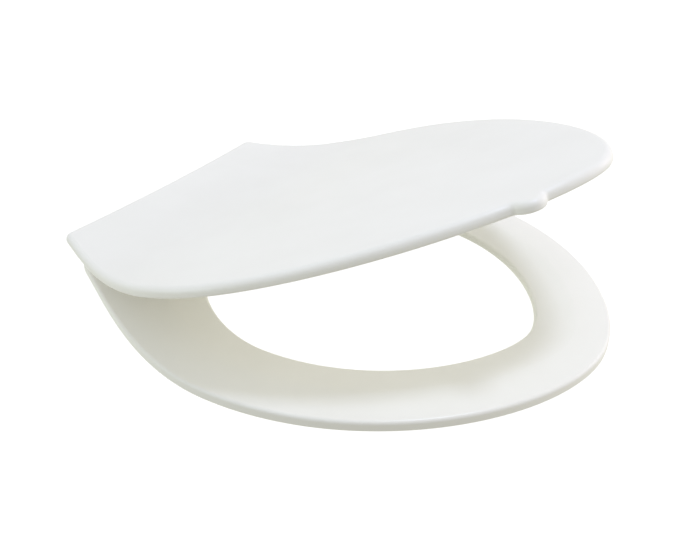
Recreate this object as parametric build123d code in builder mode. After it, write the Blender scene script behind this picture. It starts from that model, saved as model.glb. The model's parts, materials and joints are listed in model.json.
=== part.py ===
from build123d import *
from math import cos, radians, sin, tan
import os

# Toilet seat with a raised lid, millimetres, +Z up, front towards -Y
# Origin: midway between the two pan bolts, on the pan's deck

# Hinge line
bolt_spacing = 155.0
axis_height = 20.0
lid_rest_angle = 20.0

# Seat ring outline
ring_front = 382.9
ring_half = 183.6
ring_widest = -169.9
ring_nose = 76.3
ring_flank = 125.2
ring_rear = 64.9
ring_tail = 64.7
ring_taper = 28.5
ring_end_half = 105.8
ring_back = 23.3
ring_corner = 6.0
ring_bow = 2.0

# Seat opening outline
open_front = 327.8
open_half = 121.8
open_widest = -175.2
open_nose = 37.4
open_flank = 98.0
open_rear = 41.9
open_tail = 79.8
open_back = -55.6

# Seat ring section
ring_bottom = 11.1
ring_rim_top = 19.1
ring_crest = 21.3
crest_inset = 26.0
crest_back_inset = 12.0
dish_reach = 29.0
inner_top = 17.2
rim_top_round = 2.5
rim_bottom_round = 2.0
inner_round = 2.8
crest_round = 25.0
ring_wall = 9.5
ring_skin = 3.6
channel_end = -62.0

# Lid outline and section
lid_front = 389.6
lid_half = 173.6
lid_widest = -159.0
lid_nose = 58.4
lid_flank = 114.8
lid_rear = 61.5
lid_tail = 54.7
lid_taper = 26.1
lid_end_half = 118.4
lid_back = 13.0
lid_bow = 2.6
lid_corner = 7.0
lid_mid_height = 26.6
lid_rim = 8.1
lid_top_round = 4.5
lid_bottom_round = 2.0
lid_skin = 4.0
lid_wall = 8.0
hood_start = -118.1
valley_radius = 429.0
valley_turn = 7.0
hood_radius = 214.5
hood_turn = 34.0

# Finger tab on the lid's front left edge, placed along the rim from the front's middle
tab_run = 70.6
tab_inset = 3.0
tab_radius = 11.7
tab_blend = 3.5

# Hinge pieces
post_width = 21.0
post_barrel = 9.0
foot_depth = 28.0
foot_height = 4.0
pad_height = 2.0
pin_radius = 4.0
bush_radius = 6.0
bush_flange = 8.0
flange_height = 1.2
side_gap = 2.0
run_gap = 0.05
ring_barrel = 8.5
lid_lug = 10.5
lug_width = 11.0
bore_radius = 4.3
insert_radius = 5.5
insert_height = 14.0
thread_radius = 4.0
pad_gap = 0.1
notch_front = -17.0
notch_gap = 2.5
post_round = 1.0
pin_chamfer = 0.6
pad_inset = 1.0
pad_corner = 3.0
lug_turn_front = 19.8
lug_turn_back = 28.0

# Buffers
ring_foot_front_run = 147.0
ring_foot_front_inset = 32.0
ring_foot_rear_run = 81.0
ring_foot_rear_inset = 38.0
boss_radius = 10.0
boss_height = 7.5
buffer_radius = 9.0
buffer_round = 1.5
stem_radius = 3.0
stem_height = 5.5
stem_gap = 0.3
lid_stop_run = 88.5
lid_stop_inset = 25.0
lid_stop_rear_run = 62.0
lid_stop_rear_inset = 24.0
lid_boss_radius = 8.0
lid_buffer_radius = 7.0
lid_buffer_round = 0.8
lid_boss_bottom = 23.8
lid_buffer_height = 1.9
lid_stem_radius = 2.5
lid_stem_height = 4.0
buffer_names = ("front_right", "front_left", "rear_right", "rear_left")

post_x = bolt_spacing / 2
post_inner = post_x - post_width / 2
post_outer = post_x + post_width / 2
ring_face = post_inner - side_gap
lug_inner = post_outer + side_gap
lug_outer = lug_inner + lug_width
notch_outer = lug_outer + notch_gap
lid_top = lid_mid_height + lid_rim / 2
lid_bottom = lid_mid_height - lid_rim / 2
valley_centre = (hood_start, lid_mid_height + valley_radius)
hood_centre = (
    valley_centre[0] + (valley_radius - hood_radius) * sin(radians(valley_turn)),
    valley_centre[1] - (valley_radius - hood_radius) * cos(radians(valley_turn)),
)
pin_inner = ring_face - lug_width + stem_gap
roof_line = -lid_rim / 2
floor_line = lid_rim / 2
skin_line = roof_line + lid_skin
lug_line = roof_line + lid_skin / 2
dish_slope = (ring_crest - inner_top) / dish_reach


def fore_line(front, half, widest, nose, flank):
    """Right front quarter of an outline, from the front's middle to the widest point."""
    return Bezier((0, -front), (nose, -front), (half, widest - flank), (half, widest))


def aft_line(half, widest, rear, tail, taper, end_half, back):
    """Right rear quarter of an outline, from the widest point to the back end."""
    run_x = tail * sin(radians(taper))
    run_y = tail * cos(radians(taper))
    return Bezier((half, widest), (half, widest + rear), (end_half + run_x, back - run_y), (end_half, back))


def beside(line, run, inset):
    """Place that lies inwards of a rim line, at the given run along it."""
    spot = line.position_at(run, position_mode=PositionMode.LENGTH)
    way = line.tangent_at(run, position_mode=PositionMode.LENGTH)
    return (spot.X - inset * way.Y, spot.Y + inset * way.X)


ring_fore = fore_line(ring_front, ring_half, ring_widest, ring_nose, ring_flank)
ring_aft = aft_line(ring_half, ring_widest, ring_rear, ring_tail, ring_taper, ring_end_half, ring_back)
lid_fore = fore_line(lid_front, lid_half, lid_widest, lid_nose, lid_flank)
lid_aft = aft_line(lid_half, lid_widest, lid_rear, lid_tail, lid_taper, lid_end_half, lid_back)
ring_foot_front = beside(ring_fore, ring_foot_front_run, ring_foot_front_inset)
ring_foot_rear = beside(ring_aft, ring_foot_rear_run, ring_foot_rear_inset)
lid_stop_front = beside(lid_fore, lid_stop_run, lid_stop_inset)
lid_stop_rear = beside(lid_aft, lid_stop_rear_run, lid_stop_rear_inset)
tab_place = beside(lid_fore, tab_run, tab_inset)
ring_buffer_places = [(side * x, y) for x, y in (ring_foot_front, ring_foot_rear) for side in (1, -1)]
lid_buffer_places = [(side * x, y) for x, y in (lid_stop_front, lid_stop_rear) for side in (1, -1)]


def outline(front, half, widest, nose, flank, rear, tail, taper, end_half, back, bow, corner):
    """Egg-shaped face with a tapered back, a back edge bowed inwards and round back corners."""
    with BuildSketch() as shape:
        with BuildLine():
            fore_line(front, half, widest, nose, flank)
            aft_line(half, widest, rear, tail, taper, end_half, back)
            mirror(about=Plane.YZ)
            ThreePointArc((end_half, back), (0, back - bow), (-end_half, back))
        make_face()
        fillet(vertices().group_by(Axis.Y)[-1], radius=corner)
    return shape.sketch_local


def ring_outline(inset, back_inset, corner):
    """Outer outline of the ring, drawn inwards by the inset."""
    side = 1 - inset / ring_half
    length = 1 - inset / (ring_front + ring_widest)
    end_half = ring_end_half - inset / cos(radians(ring_taper)) + back_inset * tan(radians(ring_taper))
    return outline(
        ring_front - inset,
        ring_half - inset,
        ring_widest,
        ring_nose * side,
        ring_flank * length,
        ring_rear,
        ring_tail - back_inset,
        ring_taper,
        end_half,
        ring_back - back_inset,
        ring_bow,
        corner,
    )


def opening_outline(reach):
    """Outline of the seat opening, drawn outwards by the reach."""
    half = open_half + reach
    front = open_front + reach
    back = open_back + reach
    side = half / open_half
    fore = (front + open_widest) / (open_front + open_widest)
    aft = (back - open_widest) / (open_back - open_widest)
    with BuildSketch() as shape:
        with BuildLine():
            fore_line(front, half, open_widest, open_nose * side, open_flank * fore)
            Bezier(
                (half, open_widest), (half, open_widest + open_rear * aft),
                (open_tail * side, back), (0, back),
            )
            mirror(about=Plane.YZ)
        make_face()
    return shape.sketch_local


def lid_outline(inset):
    """Outline of the lid without its tab, drawn inwards by the inset."""
    side = 1 - inset / lid_half
    length = 1 - inset / (lid_front + lid_widest)
    return outline(
        lid_front - inset,
        lid_half - inset,
        lid_widest,
        lid_nose * side,
        lid_flank * length,
        lid_rear,
        lid_tail - inset,
        lid_taper,
        lid_end_half - inset / cos(radians(lid_taper)) + inset * tan(radians(lid_taper)),
        lid_back - inset,
        lid_bow,
        max(lid_corner - inset, 2.0),
    )


def hood_point(depth, angle):
    """Point of the lid's bend, at the given depth below its middle line and turn from its start."""
    turn = radians(angle)
    centre, radius = (valley_centre, valley_radius) if angle < valley_turn else (hood_centre, hood_radius)
    return (centre[0] + (radius + depth) * sin(turn), centre[1] - (radius + depth) * cos(turn))


def bend(depth):
    """The lid's bend at the given depth: a wide arc in the valley, then a closer one up the hood."""
    ThreePointArc(hood_point(depth, 0), hood_point(depth, valley_turn / 2), hood_point(depth, valley_turn))
    ThreePointArc(
        hood_point(depth, valley_turn),
        hood_point(depth, (valley_turn + hood_turn) / 2),
        hood_point(depth, hood_turn),
    )


def raised(piece):
    """A piece of the closed lid, turned up to the lid's rest angle."""
    return piece.rotate(Axis((0, 0, axis_height), (-1, 0, 0)), lid_rest_angle)


def on_axis(x):
    """Place on the hinge line with the cylinder's own axis along X."""
    return Location((x, 0, axis_height), (0, 90, 0))


# Hollow under the ring: a channel that follows the dished top
with BuildPart() as channel:
    with BuildSketch(Plane.XY.offset(ring_bottom - 1)):
        add(ring_outline(ring_wall, ring_wall, 3.0))
    extrude(amount=ring_crest - ring_skin - ring_bottom + 1)
    with BuildSketch(Plane.XY.offset(ring_bottom - 1)):
        add(opening_outline(ring_wall))
    extrude(amount=ring_crest, mode=Mode.SUBTRACT)
    with BuildSketch(Plane.XY.offset(inner_top - ring_skin)):
        add(opening_outline(0.0))
    with BuildSketch(Plane.XY.offset(inner_top - ring_skin + 32 * dish_slope)):
        add(opening_outline(32.0))
    loft(ruled=True, mode=Mode.SUBTRACT)
    with Locations((0, channel_end, 0)):
        Box(
            2 * ring_half, ring_back - channel_end, 2 * ring_crest,
            align=(Align.CENTER, Align.MIN, Align.CENTER), mode=Mode.SUBTRACT,
        )

# Seat ring
with BuildPart() as seat_ring:
    with BuildSketch(Plane.XY.offset(ring_bottom)):
        add(ring_outline(0.0, 0.0, ring_corner))
    extrude(amount=ring_rim_top - ring_bottom)
    with BuildSketch(Plane.XY.offset(ring_rim_top)):
        add(ring_outline(0.0, 0.0, ring_corner))
    with BuildSketch(Plane.XY.offset(0.25 * ring_rim_top + 0.75 * ring_crest)):
        add(ring_outline(crest_inset / 2, crest_back_inset / 2, ring_corner))
    with BuildSketch(Plane.XY.offset(ring_crest)):
        add(ring_outline(crest_inset, crest_back_inset, ring_corner))
    loft()
    with BuildSketch(Plane.XY.offset(ring_bottom)):
        add(opening_outline(0.0))
    extrude(amount=ring_crest, mode=Mode.SUBTRACT)
    with BuildSketch(Plane.XY.offset(inner_top - 5 * dish_slope)):
        add(opening_outline(-5.0))
    with BuildSketch(Plane.XY.offset(inner_top + 32 * dish_slope)):
        add(opening_outline(32.0))
    loft(ruled=True, mode=Mode.SUBTRACT)
    crest_edges = seat_ring.edges().filter_by_position(Axis.Z, ring_crest - 0.01, ring_crest + 0.01)
    fillet(crest_edges.sort_by(lambda e: e.bounding_box().max.Y)[0], crest_round)
    fillet(seat_ring.edges().filter_by_position(Axis.Z, ring_rim_top - 0.01, ring_rim_top + 0.01), rim_top_round)
    fillet(seat_ring.faces().sort_by(Axis.Z)[0].outer_wire().edges(), rim_bottom_round)
    fillet(seat_ring.edges().filter_by_position(Axis.Z, inner_top - 0.01, inner_top + 0.01), inner_round)
    fillet(seat_ring.faces().sort_by(Axis.Z)[0].inner_wires()[0].edges(), inner_round)
    with Locations((ring_face, notch_front, 0), (-notch_outer, notch_front, 0)):
        Box(
            notch_outer - ring_face, 2 * ring_back - notch_front, 2 * ring_crest,
            align=(Align.MIN, Align.MIN, Align.MIN), mode=Mode.SUBTRACT,
        )
    with Locations(on_axis(0)):
        Cylinder(ring_barrel, 2 * ring_face)
        Cylinder(bore_radius, 2 * ring_face, mode=Mode.SUBTRACT)
    with Locations(on_axis(ring_face - lug_width / 2), on_axis(lug_width / 2 - ring_face)):
        Cylinder(bush_radius, lug_width, mode=Mode.SUBTRACT)
    add(channel.part, mode=Mode.SUBTRACT)
    with Locations(*[(x, y, ring_bottom) for x, y in ring_buffer_places]):
        Cylinder(boss_radius, boss_height, align=(Align.CENTER, Align.CENTER, Align.MIN))
        Cylinder(
            stem_radius, stem_height + stem_gap,
            align=(Align.CENTER, Align.CENTER, Align.MIN), mode=Mode.SUBTRACT,
        )

# Closed lid: a bent slab cut to the outline, rounded at the rim and hollowed underneath
far_front = -lid_front - tab_radius
far_side = lid_half + tab_radius
with BuildPart() as lid_hollow:
    with BuildSketch(Plane.YZ):
        with BuildLine():
            Line((far_front, lid_top - lid_skin), hood_point(skin_line, 0))
            bend(skin_line)
            Polyline(
                hood_point(skin_line, hood_turn),
                (hood_point(skin_line, hood_turn)[0], 0),
                (far_front, 0),
                (far_front, lid_top - lid_skin),
            )
        make_face()
    extrude(amount=far_side, both=True)
    with BuildSketch():
        add(lid_outline(lid_wall))
    extrude(amount=hood_radius, mode=Mode.INTERSECT)

with BuildPart() as lid_closed:
    with BuildSketch(Plane.YZ):
        with BuildLine():
            Line((far_front, lid_top), hood_point(roof_line, 0))
            bend(roof_line)
            Line(hood_point(roof_line, hood_turn), hood_point(floor_line, hood_turn))
            bend(floor_line)
            Line(hood_point(floor_line, 0), (far_front, lid_bottom))
            Line((far_front, lid_bottom), (far_front, lid_top))
        make_face()
    extrude(amount=far_side, both=True)
    with BuildSketch():
        add(lid_outline(0.0))
        with Locations((-tab_place[0], tab_place[1])):
            Circle(tab_radius)
        roots = vertices().filter_by(lambda v: v.X < 0).sort_by(Axis.Y)[:2]
        fillet(roots, tab_blend)
    extrude(amount=hood_radius, mode=Mode.INTERSECT)
    for way, size in ((1, lid_top_round), (-1, lid_bottom_round)):
        walls = lid_closed.faces().filter_by(lambda f: abs(f.normal_at().Z) < 0.001).edges()
        cover = lid_closed.faces().filter_by(lambda f: way * f.normal_at().Z > 0.5).edges()
        fillet(walls.filter_by(lambda e: e in cover), size)
    add(lid_hollow.part, mode=Mode.SUBTRACT)
    with BuildSketch(Plane.YZ.offset(lug_inner), Plane.YZ.offset(-lug_outer)):
        with BuildLine():
            Polyline(
                (-lid_lug, axis_height),
                hood_point(lug_line, lug_turn_front),
                hood_point(lug_line, lug_turn_back),
                (lid_lug, axis_height),
                close=True,
            )
        make_face()
        with Locations((0, axis_height)):
            Circle(lid_lug)
            Circle(bush_radius, mode=Mode.SUBTRACT)
    extrude(amount=lug_width)
    with Locations(*[(x, y, lid_boss_bottom) for x, y in lid_buffer_places]):
        Cylinder(
            lid_boss_radius, lid_top - lid_skin / 2 - lid_boss_bottom,
            align=(Align.CENTER, Align.CENTER, Align.MIN),
        )
        Cylinder(
            lid_stem_radius, lid_stem_height + stem_gap,
            align=(Align.CENTER, Align.CENTER, Align.MIN), mode=Mode.SUBTRACT,
        )

with BuildPart() as lid:
    add(raised(lid_closed.part))

# Hinge posts with their pins, inserts and pads
with BuildPart() as hinge_post_right:
    with BuildSketch(Plane.YZ.offset(post_inner)):
        with BuildLine():
            Polyline(
                (-foot_depth / 2, pad_height),
                (foot_depth / 2, pad_height),
                (foot_depth / 2, pad_height + foot_height),
                (post_barrel, axis_height),
                (-post_barrel, axis_height),
                (-foot_depth / 2, pad_height + foot_height),
                close=True,
            )
        make_face()
        with Locations((0, axis_height)):
            Circle(post_barrel)
    extrude(amount=post_width)
    flanks = hinge_post_right.faces().sort_by(Axis.X)
    fillet(flanks[0].outer_wire().edges() + flanks[-1].outer_wire().edges(), post_round)
    with Locations(on_axis(post_x)):
        Cylinder(pin_radius, post_width, mode=Mode.SUBTRACT)
    with Locations((post_x, 0, 0)):
        Cylinder(
            insert_radius, insert_height + stem_gap,
            align=(Align.CENTER, Align.CENTER, Align.MIN), mode=Mode.SUBTRACT,
        )

with BuildPart() as hinge_pin_right:
    with Locations(on_axis((pin_inner + lug_outer) / 2)):
        Cylinder(pin_radius, lug_outer - pin_inner)
    chamfer(hinge_pin_right.edges().filter_by(GeomType.CIRCLE), pin_chamfer)

with BuildPart() as thread_insert_right:
    with Locations((post_x, 0, 0)):
        Cylinder(insert_radius, insert_height, align=(Align.CENTER, Align.CENTER, Align.MIN))
        Cylinder(
            thread_radius, insert_height,
            align=(Align.CENTER, Align.CENTER, Align.MIN), mode=Mode.SUBTRACT,
        )

with BuildPart() as base_pad_right:
    with BuildSketch():
        with Locations((post_x, 0)):
            RectangleRounded(post_width, foot_depth - 2 * pad_inset, pad_corner)
            Circle(insert_radius + pad_gap, mode=Mode.SUBTRACT)
    extrude(amount=pad_height)

# Flanged bushes that run on the pins
with BuildPart() as ring_bush_right:
    with Locations(on_axis(ring_face - lug_width / 2)):
        Cylinder(bush_radius, lug_width)
    with Locations(on_axis(ring_face + flange_height / 2)):
        Cylinder(bush_flange, flange_height)
    with Locations(on_axis(ring_face)):
        Cylinder(pin_radius + run_gap, 4 * lug_width, mode=Mode.SUBTRACT)

with BuildPart() as lid_bush_right:
    with Locations(on_axis(lug_inner + lug_width / 2)):
        Cylinder(bush_radius, lug_width)
    with Locations(on_axis(lug_inner - flange_height / 2)):
        Cylinder(bush_flange, flange_height)
    with Locations(on_axis(lug_inner)):
        Cylinder(pin_radius + run_gap, 4 * lug_width, mode=Mode.SUBTRACT)

# Rubber buffers, drawn at the origin of their seats
with BuildPart() as ring_buffer:
    Cylinder(buffer_radius, ring_bottom, align=(Align.CENTER, Align.CENTER, Align.MIN))
    fillet(ring_buffer.edges().group_by(Axis.Z)[0], buffer_round)
    with Locations((0, 0, ring_bottom)):
        Cylinder(stem_radius, stem_height, align=(Align.CENTER, Align.CENTER, Align.MIN))

with BuildPart() as lid_buffer:
    with Locations((0, 0, lid_boss_bottom)):
        Cylinder(lid_buffer_radius, lid_buffer_height, align=(Align.CENTER, Align.CENTER, Align.MAX))
        Cylinder(lid_stem_radius, lid_stem_height, align=(Align.CENTER, Align.CENTER, Align.MIN))
    fillet(lid_buffer.edges().group_by(Axis.Z)[0], lid_buffer_round)

# Every piece by its name, left pieces mirrored from the right ones
pieces = {"seat_ring": seat_ring.part, "lid": lid.part}
for name, right in (
    ("hinge_post", hinge_post_right),
    ("hinge_pin", hinge_pin_right),
    ("thread_insert", thread_insert_right),
    ("base_pad", base_pad_right),
    ("ring_bush", ring_bush_right),
    ("lid_bush", lid_bush_right),
):
    with BuildPart() as left:
        mirror(right.part, about=Plane.YZ)
    pieces[name + "_right"] = right.part
    pieces[name + "_left"] = left.part
for name, (x, y) in zip(buffer_names, ring_buffer_places):
    with BuildPart() as foot:
        with Locations((x, y, 0)):
            add(ring_buffer.part)
    pieces["ring_buffer_" + name] = foot.part
for name, (x, y) in zip(buffer_names, lid_buffer_places):
    with BuildPart() as stop:
        with Locations((x, y, 0)):
            add(lid_buffer.part)
    pieces["lid_buffer_" + name] = raised(stop.part)

os.makedirs("parts", exist_ok=True)
for name, piece in pieces.items():
    piece.label = name
    export_step(piece, f"parts/{name}.step")
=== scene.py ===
import json
import math
import bmesh
import bpy
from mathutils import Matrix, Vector


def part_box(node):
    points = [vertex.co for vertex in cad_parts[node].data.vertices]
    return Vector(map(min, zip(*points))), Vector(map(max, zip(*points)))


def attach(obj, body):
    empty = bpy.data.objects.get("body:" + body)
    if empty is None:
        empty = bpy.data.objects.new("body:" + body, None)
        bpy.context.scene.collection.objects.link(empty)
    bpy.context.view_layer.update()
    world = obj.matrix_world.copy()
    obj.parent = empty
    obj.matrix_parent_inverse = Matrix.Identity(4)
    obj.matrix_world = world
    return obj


# Finishes, threads, studio light and camera for a toilet seat with a raised lid, in metres

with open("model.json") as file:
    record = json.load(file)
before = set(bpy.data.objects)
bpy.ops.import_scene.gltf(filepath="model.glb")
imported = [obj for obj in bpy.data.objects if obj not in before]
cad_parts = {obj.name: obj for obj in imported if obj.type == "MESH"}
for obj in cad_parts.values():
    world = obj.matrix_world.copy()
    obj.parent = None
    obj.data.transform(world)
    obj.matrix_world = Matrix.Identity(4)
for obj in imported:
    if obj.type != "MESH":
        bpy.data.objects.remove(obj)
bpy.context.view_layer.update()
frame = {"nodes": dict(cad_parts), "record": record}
nodes = frame["nodes"]
scene = bpy.context.scene


# Materials: every one gets its colour, roughness and bump from noise in the piece's own coordinates

noise_low, noise_high = 0.3, 0.7  # most of the noise lies between these values


def new_material(name):
    """A new material, its node tree and its Principled shader."""
    mat = bpy.data.materials.new(name)
    mat.use_nodes = True
    tree = mat.node_tree
    return mat, tree, tree.nodes["Principled BSDF"]


def fill(node, values):
    """Set inputs of a node by their names."""
    for name, value in values.items():
        node.inputs[name].default_value = value


def place(tree, stretch=(1, 1, 1)):
    """Object coordinates, stretched along the axes."""
    coords = tree.nodes.new("ShaderNodeTexCoord")
    mapping = tree.nodes.new("ShaderNodeMapping")
    fill(mapping, {"Scale": stretch})
    tree.links.new(coords.outputs["Object"], mapping.inputs["Vector"])
    return mapping.outputs["Vector"]


def noise(tree, vector, scale, detail, roughness=0.5):
    """Noise of the given scale, in features per metre."""
    node = tree.nodes.new("ShaderNodeTexNoise")
    fill(node, {"Scale": scale, "Detail": detail, "Roughness": roughness})
    tree.links.new(vector, node.inputs["Vector"])
    return node.outputs["Fac"]


def ramp(tree, value, stops):
    """Colours along a value, from (position, colour) pairs."""
    node = tree.nodes.new("ShaderNodeValToRGB")
    marks = node.color_ramp.elements
    while len(marks) < len(stops):
        marks.new(0.5)
    for mark, (position, colour) in zip(marks, stops):
        mark.position = position
        mark.color = (*colour, 1.0)
    tree.links.new(value, node.inputs["Fac"])
    return node.outputs["Color"]


def spread(tree, value, start, end, low, high):
    """A value from start to end, spread over low to high."""
    node = tree.nodes.new("ShaderNodeMapRange")
    fill(node, {"From Min": start, "From Max": end, "To Min": low, "To Max": high})
    tree.links.new(value, node.inputs["Value"])
    return node.outputs["Result"]


def paint(tree, shader, value, stops):
    """Base colour along a noise."""
    tree.links.new(ramp(tree, value, stops), shader.inputs["Base Color"])


def roughen(tree, shader, value, low, high):
    """Roughness from low to high along a noise."""
    tree.links.new(spread(tree, value, noise_low, noise_high, low, high), shader.inputs["Roughness"])


def bump(tree, shader, layers):
    """Bump layers in a row, each a (value, strength, depth in metres)."""
    normal = None
    for value, strength, depth in layers:
        node = tree.nodes.new("ShaderNodeBump")
        fill(node, {"Strength": strength, "Distance": depth})
        tree.links.new(value, node.inputs["Height"])
        if normal is not None:
            tree.links.new(normal, node.inputs["Normal"])
        normal = node.outputs["Normal"]
    tree.links.new(normal, shader.inputs["Normal"])


def plastic(name, dark, light, roughness, peel, coat):
    """Moulded plastic: faint clouds in the colour, uneven gloss, a fine skin with shallow waves."""
    wave_strength, wave_depth, skin_depth = 0.25, 0.0003, 0.00008
    mat, tree, shader = new_material(name)
    vector = place(tree)
    clouds = noise(tree, vector, scale=14.0, detail=4.0, roughness=0.55)
    gloss = noise(tree, vector, scale=32.0, detail=5.0, roughness=0.6)
    waves = noise(tree, vector, scale=55.0, detail=2.0)
    skin = noise(tree, vector, scale=900.0, detail=2.0)
    paint(tree, shader, clouds, [(noise_low, dark), (noise_high, light)])
    roughen(tree, shader, gloss, *roughness)
    bump(tree, shader, [(waves, wave_strength, wave_depth), (skin, peel, skin_depth)])
    fill(shader, {"IOR": 1.5, "Coat Weight": coat, "Coat Roughness": 0.25})
    return mat


def steel(name):
    """Drawn steel: fine lines along the pin."""
    along, across = 25, 2500
    dark, light = (0.44, 0.44, 0.45), (0.62, 0.62, 0.63)
    line_strength, line_depth = 0.3, 0.00004
    mat, tree, shader = new_material(name)
    lines = noise(tree, place(tree, (along, across, across)), scale=1.0, detail=4.0)
    clouds = noise(tree, place(tree), scale=180.0, detail=3.0)
    paint(tree, shader, lines, [(noise_low, dark), (noise_high, light)])
    roughen(tree, shader, clouds, low=0.22, high=0.38)
    bump(tree, shader, [(lines, line_strength, line_depth)])
    fill(shader, {"Metallic": 1.0})
    return mat


def brass(name):
    """Turned brass: rings round the axis and a faint tarnish."""
    around, along = 60, 5200
    dark, middle, light = (0.42, 0.27, 0.09), (0.62, 0.44, 0.16), (0.70, 0.52, 0.22)
    ring_strength, ring_depth = 0.35, 0.00005
    mat, tree, shader = new_material(name)
    rings = noise(tree, place(tree, (around, around, along)), scale=1.0, detail=3.0)
    tarnish = noise(tree, place(tree), scale=260.0, detail=5.0, roughness=0.6)
    paint(tree, shader, tarnish, [(0.3, dark), (0.55, middle), (0.75, light)])
    roughen(tree, shader, rings, low=0.2, high=0.4)
    bump(tree, shader, [(rings, ring_strength, ring_depth)])
    fill(shader, {"Metallic": 1.0})
    return mat


def rubber(name, dark, light):
    """Pale rubber: matte, with fine grain and a dusty bloom."""
    grain_strength, grain_depth = 0.4, 0.00006
    mat, tree, shader = new_material(name)
    vector = place(tree)
    bloom = noise(tree, vector, scale=120.0, detail=5.0, roughness=0.65)
    grain = noise(tree, vector, scale=2600.0, detail=2.0)
    paint(tree, shader, bloom, [(noise_low, dark), (noise_high, light)])
    roughen(tree, shader, bloom, low=0.62, high=0.85)
    bump(tree, shader, [(grain, grain_strength, grain_depth)])
    fill(shader, {"Specular IOR Level": 0.3})
    return mat


materials = {
    "lid_plastic": plastic(
        "lid_plastic",
        dark=(0.900, 0.893, 0.842), light=(0.926, 0.920, 0.872), roughness=(0.34, 0.44), peel=0.10, coat=0.06,
    ),
    "ring_plastic": plastic(
        "ring_plastic",
        dark=(0.900, 0.891, 0.836), light=(0.926, 0.918, 0.866), roughness=(0.34, 0.44), peel=0.10, coat=0.06,
    ),
    "post_plastic": plastic(
        "post_plastic",
        dark=(0.80, 0.795, 0.745), light=(0.84, 0.835, 0.785), roughness=(0.36, 0.48), peel=0.2, coat=0.0,
    ),
    "bush_nylon": plastic(
        "bush_nylon",
        dark=(0.72, 0.70, 0.62), light=(0.78, 0.76, 0.68), roughness=(0.46, 0.58), peel=0.3, coat=0.0,
    ),
    "pin_steel": steel("pin_steel"),
    "insert_brass": brass("insert_brass"),
    "pad_rubber": rubber("pad_rubber", dark=(0.55, 0.55, 0.53), light=(0.64, 0.64, 0.62)),
    "buffer_rubber": rubber("buffer_rubber", dark=(0.62, 0.62, 0.60), light=(0.71, 0.71, 0.69)),
}
for part in frame["record"]["subparts"]:
    mesh = nodes[part["node"]].data
    mesh.materials.clear()
    mesh.materials.append(materials[part["material_slot"]])


# Threads in the brass inserts: one helical ridge each, sunk a little into the wall of the bore

thread_pitch = 0.00125
thread_margin = 0.0009  # from either end of the bore to the middle of the ridge
crest_radius, crest_half = 0.00342, 0.00012
root_radius, root_half = 0.00402, 0.00052
turn_steps = 48
fade_steps = 20  # over which the ridge rises at either end
ridge_profile = [
    (root_radius, -root_half),
    (crest_radius, -crest_half),
    (crest_radius, crest_half),
    (root_radius, root_half),
]


def thread(name, node):
    """A thread's ridge in the bore of an insert, swept up a helix."""
    lo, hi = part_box(node)
    centre_x, centre_y = (lo.x + hi.x) / 2, (lo.y + hi.y) / 2
    length = hi.z - lo.z - 2 * thread_margin
    count = int(length / thread_pitch * turn_steps)
    bm = bmesh.new()
    rows = []
    for i in range(count + 1):
        turn = 2 * math.pi * i / turn_steps
        rise = min(1.0, i / fade_steps, (count - i) / fade_steps)
        height = lo.z + thread_margin + thread_pitch * i / turn_steps
        row = []
        for radius, lift in ridge_profile:
            r = root_radius + (radius - root_radius) * rise
            x, y = centre_x + r * math.cos(turn), centre_y + r * math.sin(turn)
            row.append(bm.verts.new((x, y, height + lift)))
        rows.append(row)
    sides = len(ridge_profile)
    for low_row, high_row in zip(rows, rows[1:]):
        for k in range(sides):
            n = (k + 1) % sides
            bm.faces.new((low_row[k], high_row[k], high_row[n], low_row[n]))
    bm.faces.new(rows[0])
    bm.faces.new(list(reversed(rows[-1])))
    bmesh.ops.recalc_face_normals(bm, faces=bm.faces)
    mesh = bpy.data.meshes.new(name)
    bm.to_mesh(mesh)
    bm.free()
    mesh.materials.append(materials["insert_brass"])
    obj = bpy.data.objects.new(name, mesh)
    scene.collection.objects.link(obj)
    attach(obj, "fixings")


thread("thread_left", "thread_insert_left")
thread("thread_right", "thread_insert_right")


# Floor with far walls: pale, plain and seen by the camera alone, so that the dome also lights from below

floor_drop = 0.0004  # below the pads
room_half, room_height = 10.0, 10.0
paper_grey, paper_glow = 0.15, 1.0

corners = [(-room_half, -room_half), (room_half, -room_half), (room_half, room_half), (-room_half, room_half)]
walls = [(k, (k + 1) % 4, (k + 1) % 4 + 4, k + 4) for k in range(4)]
floor_mesh = bpy.data.meshes.new("floor")
points = [(x, y, z) for z in (0.0, room_height) for x, y in corners]
floor_mesh.from_pydata(points, [], [(0, 1, 2, 3), *walls])
floor = bpy.data.objects.new("floor", floor_mesh)
floor.location.z = -floor_drop
floor.visible_diffuse = False
floor.visible_glossy = False
floor.visible_shadow = False
scene.collection.objects.link(floor)
paper, paper_tree, paper_shader = new_material("floor_paper")
fill(paper_shader, {
    "Base Color": (paper_grey, paper_grey, paper_grey, 1),
    "Roughness": 0.9,
    "Emission Color": (1, 1, 1, 1),
    "Emission Strength": paper_glow,
})
floor_mesh.materials.append(paper)


# Soft studio light: three panels and a pale dome, dimmer at middle height and low on the camera's side

below, level, overhead = (0.770, 0.778, 0.691), (0.576, 0.540, 0.552), (0.712, 0.736, 0.728)
dome_stops = [(0.45, below), (0.55, level), (0.70, level), (0.80, overhead)]  # 0 straight down, 1 straight up
dome_lean = (0.50, 0.145, 0.0)  # brighter this way and dimmer the other way
lean_full, lean_none = -0.2, 0.7  # heights on the dome between which the lean fades out

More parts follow.
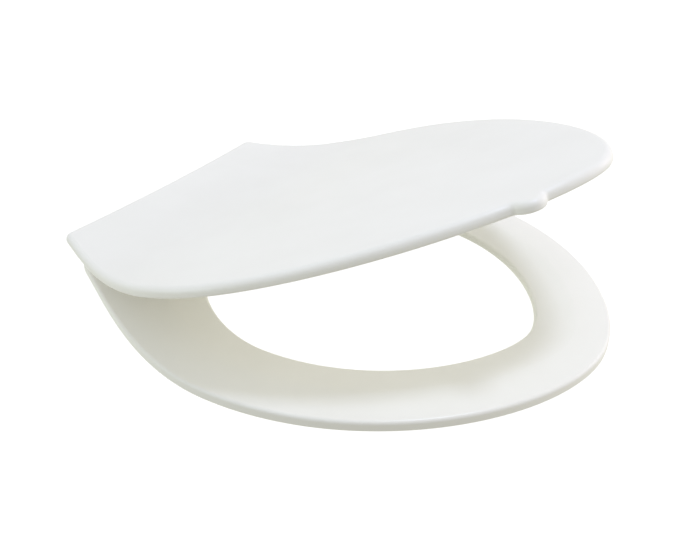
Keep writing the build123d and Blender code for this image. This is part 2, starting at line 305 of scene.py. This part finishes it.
world = bpy.data.worlds.new("studio")
scene.world = world
world.use_nodes = True
sky = world.node_tree
background = sky.nodes["Background"]
direction = sky.nodes.new("ShaderNodeTexCoord").outputs["Generated"]
split = sky.nodes.new("ShaderNodeSeparateXYZ")
sky.links.new(direction, split.inputs["Vector"])
height = spread(sky, split.outputs["Z"], -1.0, 1.0, 0.0, 1.0)
sky.links.new(ramp(sky, height, dome_stops), background.inputs["Color"])
lean = sky.nodes.new("ShaderNodeVectorMath")
lean.operation = "DOT_PRODUCT"
lean.inputs[1].default_value = dome_lean
sky.links.new(direction, lean.inputs[0])
strength = sky.nodes.new("ShaderNodeMath")
strength.operation = "MULTIPLY_ADD"
strength.inputs[2].default_value = 1.0
sky.links.new(lean.outputs["Value"], strength.inputs[0])
sky.links.new(spread(sky, split.outputs["Z"], lean_full, lean_none, 1.0, 0.0), strength.inputs[1])
sky.links.new(strength.outputs["Value"], background.inputs["Strength"])

lit_point = Vector((0, -0.19, 0.05))


def panel(name, at, size, watts, colour):
    """A soft light panel that faces the seat."""
    data = bpy.data.lights.new(name, "AREA")
    data.shape = "RECTANGLE"
    data.size, data.size_y = size
    data.energy = watts
    data.color = colour
    obj = bpy.data.objects.new(name, data)
    obj.location = at
    obj.rotation_euler = (lit_point - Vector(at)).to_track_quat("-Z", "Y").to_euler()
    scene.collection.objects.link(obj)


panel("key_light", at=(0.234, -0.612, 2.0), size=(0.3, 0.3), watts=12.0, colour=(0.72, 0.77, 1.0))
panel("left_light", at=(-1.5, 1.2, 0.35), size=(1.4, 0.6), watts=7.0, colour=(0.83, 0.97, 1.0))
panel("right_light", at=(1.4, -1.6, 0.75), size=(1.6, 1.0), watts=10.2, colour=(1.0, 0.90, 0.94))


# Camera at the photograph's view

target = Vector((-0.00266, -0.16527, 0.015))
azimuth, elevation = math.radians(-57.69), math.radians(30.70)
distance = 0.6956
focal_length, sensor_width = 44.82, 36.0  # millimetres

back = Vector((
    math.sin(azimuth) * math.cos(elevation),
    -math.cos(azimuth) * math.cos(elevation),
    math.sin(elevation),
))
lens = bpy.data.cameras.new("camera")
lens.sensor_fit = "HORIZONTAL"
lens.sensor_width = sensor_width
lens.lens = focal_length
lens.clip_start = 0.02
lens.clip_end = 50.0
camera = bpy.data.objects.new("camera", lens)
camera.location = target + back * distance
camera.rotation_euler = (-back).to_track_quat("-Z", "Y").to_euler()
scene.collection.objects.link(camera)
scene.camera = camera
scene.view_settings.view_transform = "Standard"
scene.view_settings.look = "None"
